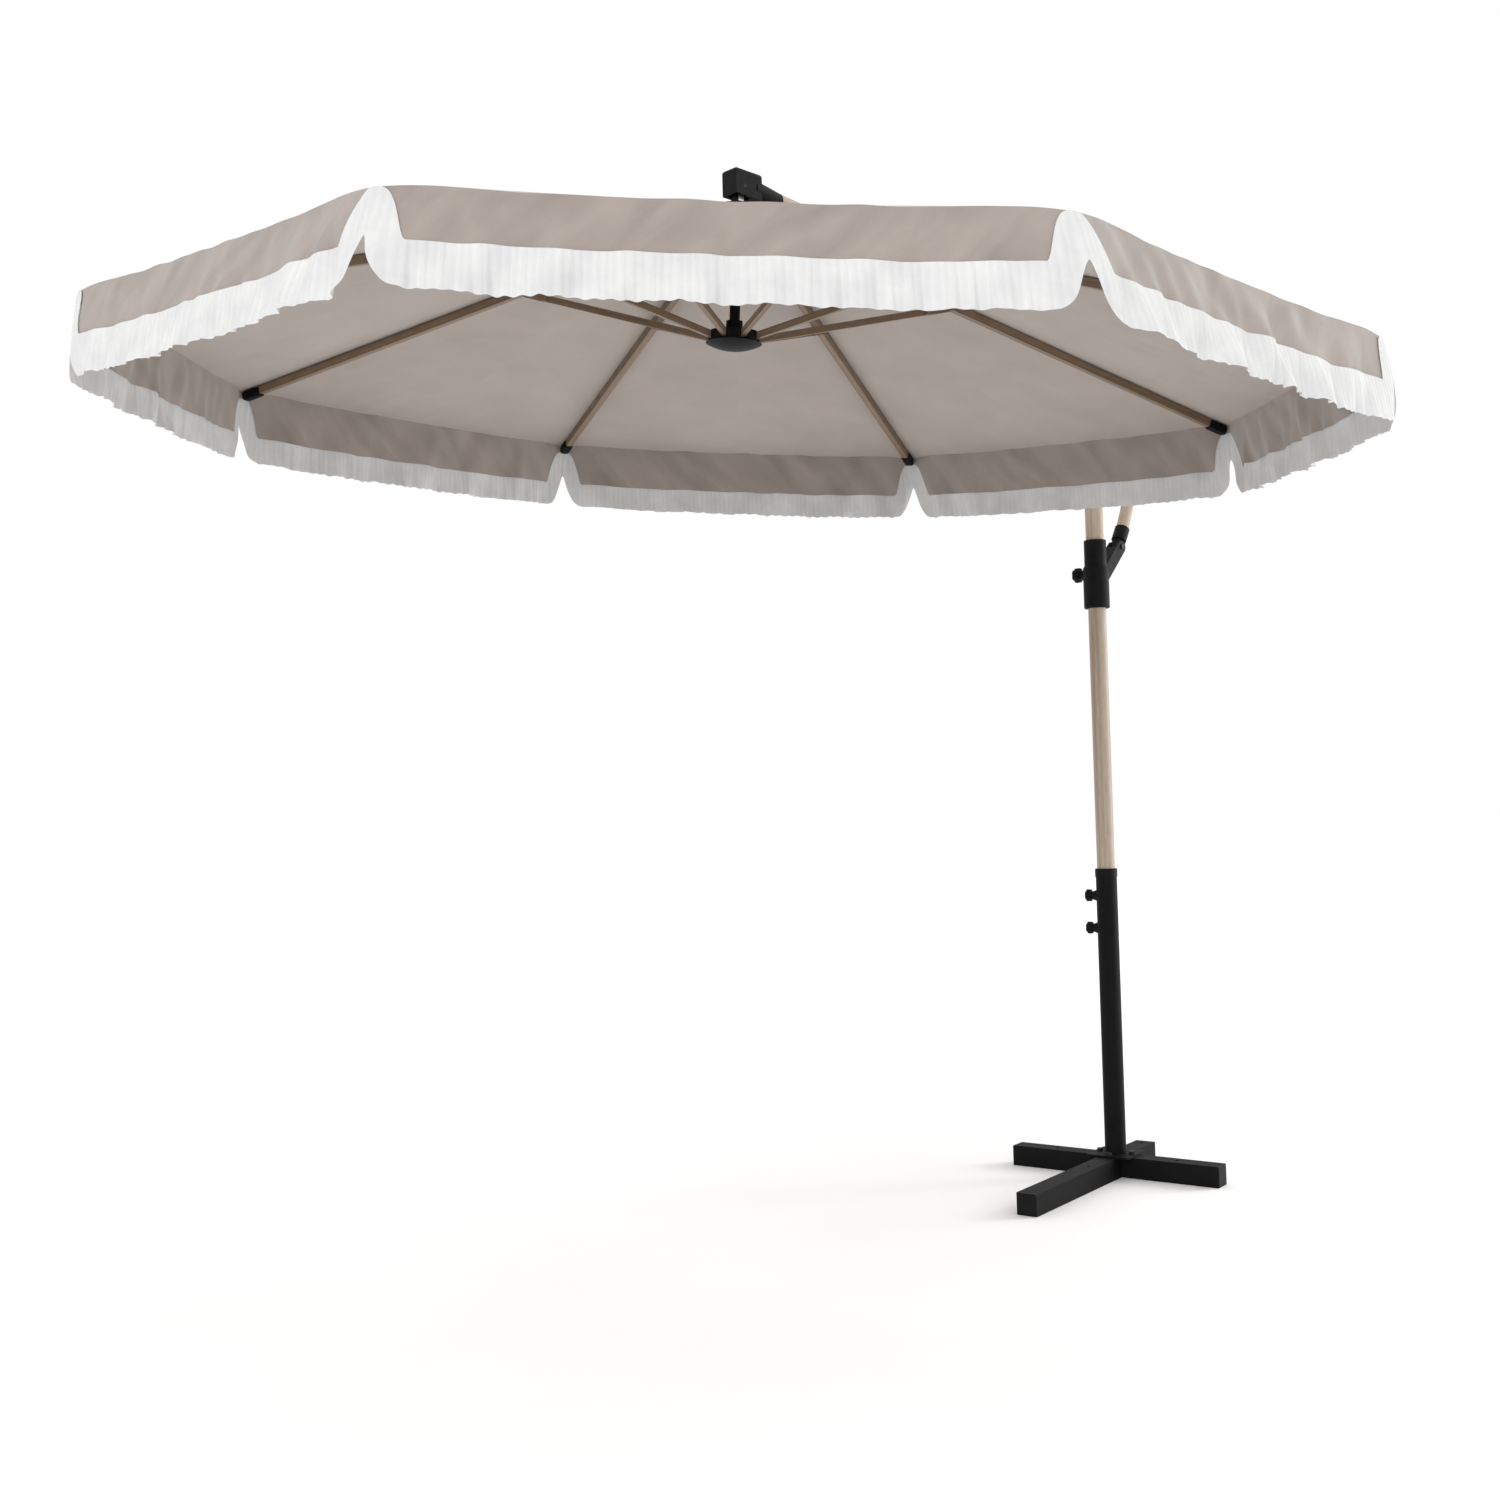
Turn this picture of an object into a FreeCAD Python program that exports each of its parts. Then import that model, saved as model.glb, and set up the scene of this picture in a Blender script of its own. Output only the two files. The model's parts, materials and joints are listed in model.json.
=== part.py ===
"""Cantilever patio umbrella on a cross-shaped base, in millimetres.

The mast axis is the Z axis and the base stands on z = 0. The canopy hangs on the -X side of the mast,
below the end of a boom that lies in the plane y = 0. Everything that hangs from the boom's end is drawn
in the canopy's own frame, whose origin is the point it rolls about, and is then put in place, rolled a
few degrees to one side.
"""
import FreeCAD, Part
import math
import os
from FreeCAD import Placement, Rotation, Vector

X = Vector(1, 0, 0)
Y = Vector(0, 1, 0)
Z = Vector(0, 0, 1)
ORIGIN = Vector(0, 0, 0)

# Base
BAR = 60.0                # width and height of the square base tubes
BAR_WALL = 3.0
ARM_FRONT = 585.0         # arm under the canopy, from the mast axis
ARM_REAR = 225.0
ARM_SIDE = 326.0
BASE_TURN = 8.8           # degrees the cross is turned against the boom
CAP_DEPTH = 6.0           # thickness of the end caps outside the tubes
ANCHOR_RADIUS = 190.0     # ground anchor holes, from the mast axis
ANCHOR_HOLE_R = 6.0
BALLAST_GAP = 1.0         # between a ballast bar and the tube around it
BALLAST_INNER = (76.0, 172.0)
BALLAST_OUTER = 208.0
POST_BALLAST_TOP = 648.0  # ballast bar inside the post, below the mast's socket
PLATE = 132.0             # square plate under the post
PLATE_T = 6.0
PLATE_BOLT_OFFSET = 50.0
BOLT_R = 5.0
BOLT_HOLE_R = 5.2

# Post and mast
POST_R = 31.0
POST_WALL = 2.0
POST_TOP = 900.0
COLLAR_TOP = 909.0
COLLAR_LIP = 1.8          # how far the collar stands out from the post
MAST_R = 26.5
MAST_WALL = 2.0
MAST_BOTTOM = 662.0
MAST_TOP = 2400.0
RUNNING = 0.06            # radial clearance of a running fit
KNOB_HEIGHTS = {"knob_upper": 828.0, "knob_lower": 731.0}
KNOB_R = 18.0
BOSS_END = 43.0           # outer face of the knob bosses, from the mast axis
STUD_R = 5.0

# Boom and its linkage
BOOM_R = 19.0
BOOM_WALL = 2.0
BUSH_R = 6.5                          # bearing bush around the pivot bolt, inside the boom
PIVOT = Vector(0, 0, 2463)            # boom pivot on top of the mast
REAR = Vector(240, 0, 2427.0)         # pin between the boom's rear end and the strut
BOOM_REAR_END = Vector(190, 0, 2435.0)
BOOM_FRONT_END = Vector(-1458, 0, 2613)
BOOM_LINE = [BOOM_REAR_END, PIVOT, BOOM_FRONT_END]
FOOT = Vector(118, 0, 1885)           # pin between the strut and the slider
FOOT_EYE_R = 8.2                      # the strut foot's eye floats on its 5 mm pin
LINK_PIN = 5.0                        # radius of the strut's and the boom end's pins
PIVOT_BOLT = 6.0                      # radius of the boom's pivot bolt
ROLL_PIN = 3.5
STRUT_BOW = 48.0                      # how far the strut bows away from a straight line
SLIDER_BOTTOM = 1690.0
SLIDER_SHOULDER = 1815.0
SLIDER_TOP = 1895.0
SLIDER_R = 38.0
SLIDER_UPPER_R = 33.0
SLIDER_KNOB_Z = 1797.0

# Canopy, in its own frame
ROLL_CENTRE = Vector(-1483, 0, 2578)  # where the roll axis meets the canopy's own axis
ROLL = 5.0                            # degrees the canopy is stored rolled about X
LEVEL_PIN_Z = 28.0                    # height of the level pin above the roll axis
SIDES = 8
HUB_PIN_R = 50.0                      # radius of the pin circles of crown and runner
HUB_PIN = 2.5                         # radius of the pins in crown and runner
RIB_PIN = 3.0                         # radius of the pins between ribs and stretchers
CROWN_Z = -38.0                       # height of the rib pins
TIP_R = 1450.0                        # radius of the rib tips
TIP_Z = -413.0
RIB_W = 18.0
RIB_H = 20.0
RIB_WALL = 1.2
STRETCHER_AT = 565.0                  # rib pin to stretcher pin, and the stretcher's own length
STRETCHER_W = 12.0
STRETCHER_H = 16.0
FORK_LENGTH = 78.0
FORK_CHEEK = 3.0
STEM_R = 12.5
HUB_R = 62.0
FABRIC = 0.9
ROOF_CORNER_R = 1462.0
ROOF_HOLE_R = 74.0
VALANCE_DROP = 205.0
NOTCH_TOP = 92.0                      # from the roof corner down to the notch between two flaps
NOTCH_HALF_WIDTH = 62.0               # at the hem

RIB_SLOPE = math.atan2(CROWN_Z - TIP_Z, TIP_R - HUB_PIN_R)
RIB_LENGTH = math.hypot(CROWN_Z - TIP_Z, TIP_R - HUB_PIN_R)
RUNNER_Z = CROWN_Z - 2 * STRETCHER_AT * math.sin(RIB_SLOPE)
RIB_EDGE_DROP = RIB_W / 2 * math.tan(math.pi / SIDES) * math.tan(RIB_SLOPE)
ROOF_OFFSET = (RIB_H / 2 + 0.6) / math.cos(RIB_SLOPE) + RIB_EDGE_DROP

CANOPY_PLACEMENT = Placement(ROLL_CENTRE, Rotation(X, ROLL))
BASE_PLACEMENT = Placement(ORIGIN, Rotation(Z, BASE_TURN))


# Helpers

def box(x0, x1, y0, y1, z0, z1):
    """A box between two corners."""
    return Part.makeBox(x1 - x0, y1 - y0, z1 - z0, Vector(x0, y0, z0))


def rod(radius, start, end):
    """A round bar between two points."""
    return Part.makeCylinder(radius, (end - start).Length, start, end - start)


def ring(outer, inner, z0, z1):
    """A ring about the Z axis."""
    solid = Part.makeCylinder(outer, z1 - z0, Vector(0, 0, z0))
    return solid.cut(Part.makeCylinder(inner, z1 - z0, Vector(0, 0, z0)))


def cross_pin(radius, centre, half_length, direction=Y):
    """A pin centred on a point."""
    return rod(radius, centre - direction * half_length, centre + direction * half_length)


def joined(shapes):
    """One solid from several that touch or overlap."""
    return shapes[0].fuse(shapes[1:]).removeSplitter()


def group(shapes):
    """Several separate solids kept in one node."""
    return Part.makeCompound(shapes)


def bent_rod(points, radius):
    """A round bar along the circular arc through three points."""
    arc = Part.Arc(*points)
    tangent = arc.tangent(arc.FirstParameter)[0]
    profile = Part.Wire([Part.makeCircle(radius, points[0], tangent)])
    return Part.Wire([arc.toShape()]).makePipeShell([profile], True, True)


def bent_tube(points, outer, inner):
    """A tube along the circular arc through three points."""
    return bent_rod(points, outer).cut(bent_rod(points, inner))


def turned(shape, degrees):
    """A copy turned about the Z axis."""
    return shape.rotated(ORIGIN, Z, degrees)


# Base

def base_arm_ends():
    """Length and direction of each arm, in degrees from +X."""
    return [(ARM_FRONT, 180), (ARM_REAR, 0), (ARM_SIDE, 90), (ARM_SIDE, 270)]


def square_tube(x0, x1):
    """A square tube along X that lies on z = 0."""
    half = BAR / 2
    inner = half - BAR_WALL
    shell = box(x0, x1, -half, half, 0, BAR)
    return shell.cut(box(x0, x1, -inner, inner, BAR_WALL, BAR - BAR_WALL))


def bar_holes():
    """The anchor and plate bolt holes of all four arms, with the top bolts stopping inside the arm."""
    holes = []
    for _, angle in base_arm_ends():
        anchor = Part.makeCylinder(ANCHOR_HOLE_R, BAR + 2, Vector(ANCHOR_RADIUS, 0, -1))
        bolt = Part.makeCylinder(BOLT_HOLE_R, BAR, Vector(PLATE_BOLT_OFFSET, 0, BAR / 2))
        holes += [turned(anchor, angle), turned(bolt, angle)]
    return holes


def base_bar_long():
    half = BAR / 2
    tube = square_tube(CAP_DEPTH - ARM_FRONT, ARM_REAR - CAP_DEPTH)
    return tube.cut([box(-half, half, -half, half, 0, half)] + bar_holes())


def base_bar_cross():
    half = BAR / 2
    tube = turned(square_tube(CAP_DEPTH - ARM_SIDE, ARM_SIDE - CAP_DEPTH), 90)
    return tube.cut([box(-half, half, -half, half, half, BAR)] + bar_holes())


def base_end_cap(length):
    """A moulded plug with a flange that covers the end of an arm along +X."""
    half = BAR / 2
    inner = half - BAR_WALL - 0.1
    flange = box(length - CAP_DEPTH, length, -half, half, 0, BAR)
    edges = [e for e in flange.Edges if min(v.Point.x for v in e.Vertexes) > length - 0.1]
    plug = box(length - CAP_DEPTH - 16, length - CAP_DEPTH, -inner, inner, half - inner, half + inner)
    return joined([flange.makeFillet(2.5, edges), plug])


def base_end_caps():
    return group([turned(base_end_cap(length), angle) for length, angle in base_arm_ends()])


def ballast_bars():
    """Cast bars inside the arms, each side of the anchor holes, and one inside the post."""
    half = BAR / 2 - BAR_WALL - BALLAST_GAP
    low = BAR_WALL
    bars = []
    for length, angle in base_arm_ends():
        spans = [BALLAST_INNER, (BALLAST_OUTER, length - CAP_DEPTH - 18)]
        for x0, x1 in spans:
            if x1 - x0 > 10:
                bars.append(turned(box(x0, x1, -half, half, low, low + 2 * half), angle))
    post_bore = POST_R - POST_WALL
    bars.append(rod(post_bore - BALLAST_GAP, Z * (BAR + PLATE_T), Z * POST_BALLAST_TOP))
    return group(bars)


def post_plate():
    half = PLATE / 2
    plate = box(-half, half, -half, half, BAR, BAR + PLATE_T)
    upright = [e for e in plate.Edges if abs(e.Vertexes[0].Point.z - e.Vertexes[1].Point.z) > 1]
    plate = plate.makeFillet(10, upright)
    hole = Part.makeCylinder(BOLT_HOLE_R, PLATE_T, Vector(PLATE_BOLT_OFFSET, 0, BAR))
    return plate.cut([turned(hole, angle) for _, angle in base_arm_ends()])


def hexagon(across_flats, height, z):
    """A hexagonal head about the Z axis."""
    radius = across_flats / math.sqrt(3)
    points = [Vector(radius * math.cos(a), radius * math.sin(a), z)
              for a in (math.radians(60 * i) for i in range(7))]
    return Part.Face(Part.makePolygon(points)).extrude(Vector(0, 0, height))


def plate_bolts():
    top = BAR + PLATE_T
    head = joined([hexagon(16, 6.4, top + 1.6), Part.makeCylinder(10, 1.6, Vector(0, 0, top))])
    shank = Part.makeCylinder(BOLT_R, 26, Vector(0, 0, top - 26))
    bolt = joined([head, shank]).translated(Vector(PLATE_BOLT_OFFSET, 0, 0))
    return group([turned(bolt, angle) for _, angle in base_arm_ends()])


def post():
    tube = ring(POST_R, POST_R - POST_WALL, BAR + PLATE_T, POST_TOP)
    holes = [rod(STUD_R + RUNNING, Vector(0, 20, z), Vector(0, 35, z)) for z in KNOB_HEIGHTS.values()]
    return tube.cut(holes)


def post_bosses():
    """Threaded bosses welded to the post for the clamp knobs."""
    bosses = []
    for z in KNOB_HEIGHTS.values():
        boss = Part.makeCone(19, 13, BOSS_END - 24, Vector(0, 24, z), Y)
        boss = boss.cut(Part.makeCylinder(POST_R, 60, Vector(0, 0, z - 30)))
        bosses.append(boss.cut(rod(STUD_R + RUNNING, Vector(0, 20, z), Vector(0, 50, z))))
    return group(bosses)


def post_collar():
    """A moulded collar that closes the top of the post and guides the mast."""
    inner = POST_R - POST_WALL - 0.1
    lip = ring(POST_R + COLLAR_LIP, MAST_R + RUNNING, POST_TOP, COLLAR_TOP)
    skirt = ring(POST_R + COLLAR_LIP, POST_R + 0.1, POST_TOP - 16, POST_TOP)
    guide = ring(inner, MAST_R + RUNNING, POST_TOP - 40, POST_TOP)
    collar = joined([lip, skirt, guide])
    rim = [e for e in collar.Edges
           if e.BoundBox.ZMin > COLLAR_TOP - 0.1 and e.BoundBox.XMax > POST_R]
    return collar.makeFillet(3, rim)


def mast_socket():
    """The cup inside the post that the mast stands and turns in."""
    outer = POST_R - POST_WALL - 0.1
    cup = ring(outer, MAST_R + RUNNING, MAST_BOTTOM, MAST_BOTTOM + 40)
    floor = ring(outer, 8, MAST_BOTTOM - 12, MAST_BOTTOM)
    return joined([cup, floor])


def lobed_knob(radius, thickness, stud_length, tip_gap):
    """A six-lobed clamp knob along +Y. Its stud's tip is tip_gap from the Y = 0 plane."""
    head_start = tip_gap + stud_length
    head = rod(radius, Vector(0, head_start, 0), Vector(0, head_start + thickness, 0))
    head = head.makeChamfer(2, head.Edges)
    scallops = []
    for i in range(6):
        angle = math.radians(60 * i)
        centre = Vector(1.22 * radius * math.cos(angle), head_start - 1, 1.22 * radius * math.sin(angle))
        scallops.append(Part.makeCylinder(0.42 * radius, thickness + 2, centre, Y))
    neck = Part.makeCone(9, 12, 5, Vector(0, head_start - 5, 0), Y)
    stud = rod(STUD_R, Vector(0, tip_gap, 0), Vector(0, head_start, 0))
    return joined([head.cut(scallops), neck, stud])


def clamp_knob(name):
    knob = lobed_knob(KNOB_R, 16, 22, MAST_R + 0.3)
    return knob.translated(Vector(0, 0, KNOB_HEIGHTS[name]))


# Mast

def mast_tube():
    return ring(MAST_R, MAST_R - MAST_WALL, MAST_BOTTOM + 4, MAST_TOP)


def mast_plug():
    """The plug that closes the mast's lower end and stands in the socket."""
    foot = Part.makeCylinder(MAST_R, 4, Vector(0, 0, MAST_BOTTOM))
    spigot = Part.makeCylinder(MAST_R - MAST_WALL - 0.1, 24, Vector(0, 0, MAST_BOTTOM + 4))
    return joined([foot, spigot])


def mast_head():
    """The bracket on top of the mast, with two cheeks for the boom's pivot bolt."""
    socket = ring(MAST_R + 5, MAST_R + 0.1, MAST_TOP - 62, MAST_TOP)
    top = Part.makeCylinder(MAST_R + 5, 8, Vector(0, 0, MAST_TOP))
    cheeks = []
    for side in (-1, 1):
        y0, y1 = sorted((side * 22, side * 29))
        plate = box(-22, 22, y0, y1, MAST_TOP, PIVOT.z)
        eye = rod(22, Vector(0, y0, PIVOT.z), Vector(0, y1, PIVOT.z))
        cheeks += [plate, eye]
    head = joined([socket, top] + cheeks)
    return head.cut(cross_pin(PIVOT_BOLT + RUNNING, PIVOT, 40))


def pivot_bolt():
    """The bolt and nut that the boom turns on."""
    shank = cross_pin(PIVOT_BOLT, PIVOT, 37)
    head = hexagon(18, 7, 29.2).rotated(ORIGIN, X, -90).translated(PIVOT)
    nut = hexagon(18, 7, 29.2).rotated(ORIGIN, X, 90).translated(PIVOT)
    return joined([shank, head, nut])


# Slider

def slider_housing():
    """The sleeve on the mast, with an arm that holds the strut's foot and a boss for its clamp knob."""
    lower = Part.makeCylinder(SLIDER_R, SLIDER_SHOULDER - SLIDER_BOTTOM, Vector(0, 0, SLIDER_BOTTOM))
    rim = [e for e in lower.Edges if len(e.Vertexes) == 1]
    lower = lower.makeFillet(4, rim)
    shoulder = Part.makeCone(SLIDER_R, SLIDER_UPPER_R, 12, Vector(0, 0, SLIDER_SHOULDER - 6))
    upper = Part.makeCylinder(SLIDER_UPPER_R, SLIDER_TOP - SLIDER_SHOULDER, Vector(0, 0, SLIDER_SHOULDER))
    reach = FOOT - Vector(8, 0, SLIDER_SHOULDER - 42)
    arm_angle = math.degrees(math.atan2(reach.x, reach.z))
    arm = box(-19, 19, -20, 20, 0, reach.Length)
    arm = arm.rotated(ORIGIN, Y, arm_angle).translated(FOOT - reach)
    eye = cross_pin(19, FOOT, 20)
    boss = rod(14, Vector(0, 20, SLIDER_KNOB_Z), Vector(0, 44, SLIDER_KNOB_Z))
    body = joined([lower, shoulder, upper, arm, eye, boss])
    slot = cross_pin(26, FOOT, 12)
    mouth = box(-26, 26, -12, 12, 0, 60).rotated(ORIGIN, Y, 30).translated(FOOT)
    bore = Part.makeCylinder(MAST_R + 2.1, 400, Vector(0, 0, SLIDER_BOTTOM - 100))
    stud_hole = rod(STUD_R + RUNNING, Vector(0, 20, SLIDER_KNOB_Z), Vector(0, 60, SLIDER_KNOB_Z))
    return body.cut([slot, mouth, bore, stud_hole, cross_pin(LINK_PIN + RUNNING, FOOT, 30)])


def slider_liners():
    """Two plain bearing rings between the slider and the mast."""
    spans = [(SLIDER_BOTTOM + 4, SLIDER_BOTTOM + 34), (SLIDER_TOP - 34, SLIDER_TOP - 4)]
    return group([ring(MAST_R + 2, MAST_R + RUNNING, z0, z1) for z0, z1 in spans])


def slider_knob():
    knob = lobed_knob(22, 20, 26, MAST_R + 0.3)
    return knob.translated(Vector(0, 0, SLIDER_KNOB_Z))


def strut_foot_pin():
    return joined([cross_pin(LINK_PIN, FOOT, 21), rod(8, FOOT + Y * 20.2, FOOT + Y * 24),
                   rod(8, FOOT - Y * 24, FOOT - Y * 20.2)])


# Strut

def strut_points():
    """Start, middle and end of the strut's curved centre line, inside its two end fittings."""
    chord = REAR - FOOT
    outward = Vector(chord.z, 0, -chord.x).normalize()
    start = FOOT + chord * 0.05 + outward * 0.19 * STRUT_BOW
    end = REAR - chord * 0.07 + outward * 0.26 * STRUT_BOW
    return [start, FOOT + chord * 0.5 + outward * STRUT_BOW, end]


def strut_tube():
    return bent_tube(strut_points(), BOOM_R, BOOM_R - BOOM_WALL)


def strut_end_direction(point):
    """The direction of the strut's centre line where it enters an end fitting."""
    arc = Part.Arc(*strut_points())
    return arc.tangent(arc.parameter(point))[0]


def strut_foot():
    """The fitting at the strut's lower end, with a tongue for the slider's arm."""
    start = strut_points()[0]
    inside = start + strut_end_direction(start) * 42
    outside = start - strut_end_direction(start) * 4
    tongue = box(-14, 14, -11.6, 11.6, 0, 34).rotated(ORIGIN, Y, 28).translated(FOOT)
    body = joined([rod(22.5, outside, inside), tongue, cross_pin(14, FOOT, 11.6)])
    bore = bent_rod(strut_points(), BOOM_R + 0.1)
    swing = cross_pin(26.5, FOOT, 30).cut(cross_pin(26.5, FOOT, 11.6))
    return body.cut([bore, swing, cross_pin(FOOT_EYE_R, FOOT, 30)])


def strut_head():
    """The forked fitting at the strut's upper end."""
    end = strut_points()[2]
    inside = end - strut_end_direction(end) * 42
    outside = end + strut_end_direction(end) * 5
    sleeve_body = rod(23, inside, outside)
    cheeks = []
    for side in (-1, 1):
        y0, y1 = sorted((side * 10.4, side * 18))
        cheeks.append(rod(18, Vector(REAR.x, y0, REAR.z), Vector(REAR.x, y1, REAR.z)))
        cheeks.append(box(REAR.x - 17, REAR.x + 17, y0, y1, end.z - 6, REAR.z))
    body = joined([sleeve_body] + cheeks)
    bore = bent_rod(strut_points(), BOOM_R + 0.1)
    gap = cross_pin(27, REAR, 10.4)
    return body.cut([bore, gap, cross_pin(LINK_PIN + RUNNING, REAR, 30)])


# Boom

def boom_tube():
    """The curved tube. Its short stretch around the pivot hole has faces of its own."""
    tube = bent_tube(BOOM_LINE, BOOM_R, BOOM_R - BOOM_WALL)
    reach = 40
    around_pivot = box(-reach, reach, -reach, reach, PIVOT.z - reach, PIVOT.z + reach)
    drilled = tube.common(around_pivot).cut(cross_pin(BUSH_R + 0.1, PIVOT, 30))
    return tube.cut(around_pivot).fuse(drilled)


def boom_saddle():
    """The collar on the boom that turns on the pivot bolt between the mast head's cheeks."""
    tilt = (BOOM_FRONT_END - BOOM_REAR_END).normalize()
    collar = rod(24, PIVOT - tilt * 46, PIVOT + tilt * 46)
    collar = collar.common(box(-80, 80, -21.6, 21.6, PIVOT.z - 60, PIVOT.z + 60))
    return collar.cut([bent_rod(BOOM_LINE, BOOM_R + 0.1), cross_pin(PIVOT_BOLT + RUNNING, PIVOT, 30)])


def boom_bush():
    """The bearing bush inside the boom, around the pivot bolt."""
    outer = cross_pin(BUSH_R, PIVOT, BOOM_R - BOOM_WALL - 3)
    return outer.cut(cross_pin(PIVOT_BOLT + RUNNING, PIVOT, 30))


def boom_rear_end():
    """The fitting on the boom's rear end, with a tongue for the strut's fork."""
    inward = (PIVOT - BOOM_REAR_END).normalize()
    sleeve_body = rod(23, BOOM_REAR_END + inward * 52, BOOM_REAR_END - inward * 6)
    length = (REAR - BOOM_REAR_END).Length
    slope = math.degrees(math.atan2(BOOM_REAR_END.z - REAR.z, REAR.x - BOOM_REAR_END.x))
    tongue = box(-4, length, -10, 10, -14, 14).rotated(ORIGIN, Y, slope).translated(BOOM_REAR_END)
    body = joined([sleeve_body, tongue, cross_pin(15, REAR, 10)])
    return body.cut([bent_rod(BOOM_LINE, BOOM_R + 0.1), cross_pin(LINK_PIN + RUNNING, REAR, 30)])


def rear_pin():
    return joined([cross_pin(LINK_PIN, REAR, 19), rod(8, REAR + Y * 18.2, REAR + Y * 22),
                   rod(8, REAR - Y * 22, REAR - Y * 18.2)])


def boom_end_cap():
    """The moulded housing on the boom's front end: a block over the hanger that tapers onto the boom."""
    middle = ROLL_CENTRE.x
    block = box(middle - 30, middle + 57, -24, 24, 2583, 2647)
    block = block.makeFillet(9, [e for e in block.Edges if e.BoundBox.ZMin > 2600])
    backward = (PIVOT - BOOM_FRONT_END).normalize()
    taper = Part.makeCone(26, 22.5, 92, BOOM_FRONT_END + backward * 16, backward)
    body = joined([block, taper])
    pin_centre = ROLL_CENTRE + Z * LEVEL_PIN_Z
    cavity = box(middle - 25, middle + 25, -15, 15, 2580, 2595)
    slot = box(middle - 14, middle + 14, -9.2, 9.2, 2590, pin_centre.z)
    slot_top = rod(14, pin_centre - Y * 9.2, pin_centre + Y * 9.2)
    bore = bent_rod(BOOM_LINE, BOOM_R + 0.1)
    return body.cut([cavity, slot, slot_top, bore, cross_pin(LINK_PIN + RUNNING, pin_centre, 40)])


def level_pin():
    return cross_pin(LINK_PIN, ROLL_CENTRE + Z * LEVEL_PIN_Z, 23.8)


# Hanger: level, it carries the canopy and turns on the level pin

def hanger():
    """A block with an eye along Y at its top and an eye along X at its bottom."""
    half = 8.8
    bottom = ROLL_CENTRE
    top = ROLL_CENTRE + Z * LEVEL_PIN_Z
    body = joined([box(bottom.x - half, bottom.x + half, -half, half, bottom.z, top.z),
                   cross_pin(half, bottom, half, X), cross_pin(half, top, half)])
    return body.cut([cross_pin(ROLL_PIN + RUNNING, bottom, 20, X), cross_pin(LINK_PIN + RUNNING, top, 20)])


# Canopy frame, drawn in the canopy's own frame

def roll_pin():
    return cross_pin(ROLL_PIN, ORIGIN, 17, X)


def hub_slots(width, inner_radius, z0, z1):
    """Radial slots for the ribs or stretchers, open at the rim."""
    slot = box(inner_radius, HUB_R + 10, -width / 2, width / 2, z0, z1)
    return [turned(slot, rib_angle(i)) for i in range(SIDES)]


def hub_pins(z, half_length):
    pin = cross_pin(HUB_PIN, Vector(HUB_PIN_R, 0, z), half_length)
    return [turned(pin, rib_angle(i)) for i in range(SIDES)]


def hub_pin_holes(z, half_length):
    hole = cross_pin(HUB_PIN + RUNNING, Vector(HUB_PIN_R, 0, z), half_length)
    return [turned(hole, rib_angle(i)) for i in range(SIDES)]


def rib_angle(i):
    """Direction of a rib in degrees from +X. The mast faces the middle of a side."""
    return 360 / SIDES * (i + 0.5)


def crown():
    """The upper hub, with two ears for the roll pin and a socket for the stem."""
    disc = Part.makeCylinder(HUB_R, 28, Vector(0, 0, CROWN_Z - 14))
    ears = []
    for side in (-1, 1):
        x0, x1 = sorted((side * 9.2, side * 16))
        ears.append(box(x0, x1, -8.8, 8.8, CROWN_Z + 10, 0))
        ears.append(rod(8.8, Vector(x0, 0, 0), Vector(x1, 0, 0)))
    collar = Part.makeCylinder(19, 26, Vector(0, 0, CROWN_Z - 38))
    body = joined([disc, collar] + ears)
    cuts = hub_slots(RIB_W + 0.8, 37, CROWN_Z - 20, CROWN_Z + 20)
    cuts += hub_pin_holes(CROWN_Z, 15)
    cuts += [cross_pin(ROLL_PIN + RUNNING, ORIGIN, 20, X)]
    cuts += [Part.makeCylinder(STEM_R, 48, Vector(0, 0, CROWN_Z - 48))]
    return body.cut(cuts)


def rib_pins():
    return group(hub_pins(CROWN_Z, 14))


def crown_cap():
    """A rain cap over the crown and the hole in the roof."""
    outer_r, inner_r = 84.0, 20.0
    flat_z, rim_z, thick = CROWN_Z + 14.4, CROWN_Z + 6.0, 2.5
    outline = [Vector(inner_r, 0, flat_z), Vector(HUB_R, 0, flat_z), Vector(outer_r, 0, rim_z),
               Vector(outer_r, 0, rim_z + thick), Vector(HUB_R, 0, flat_z + thick),
               Vector(inner_r, 0, flat_z + thick), Vector(inner_r, 0, flat_z)]
    return Part.Face(Part.makePolygon(outline)).revolve(ORIGIN, Z, 360)


def stem():
    """The short tube below the crown that the runner slides onto."""
    return ring(STEM_R, STEM_R - 1.5, RUNNER_Z - 10, CROWN_Z)


def in_rib_plane(shape, i):
    """Puts a shape drawn along +X from the rib pin, flat in the plane y = 0, onto rib i."""
    placed = shape.rotated(ORIGIN, Y, math.degrees(RIB_SLOPE))
    return turned(placed.translated(Vector(HUB_PIN_R, 0, CROWN_Z)), rib_angle(i))


def rib(i):
    """A rectangular tube with a solid rounded inner end and a pin hole for its stretcher."""
    half_w, half_h = RIB_W / 2, RIB_H / 2
    bar = box(0, RIB_LENGTH - 4, -half_w, half_w, -half_h, half_h)
    body = joined([bar, cross_pin(half_h, ORIGIN, half_w)])
    inner_w, inner_h = half_w - RIB_WALL, half_h - RIB_WALL
    hollow = box(16, RIB_LENGTH, -inner_w, inner_w, -inner_h, inner_h)
    holes = [cross_pin(HUB_PIN + RUNNING, ORIGIN, 20),
             cross_pin(RIB_PIN + RUNNING, Vector(STRETCHER_AT, 0, 0), 20)]
    return in_rib_plane(body.cut([hollow] + holes), i)


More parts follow.
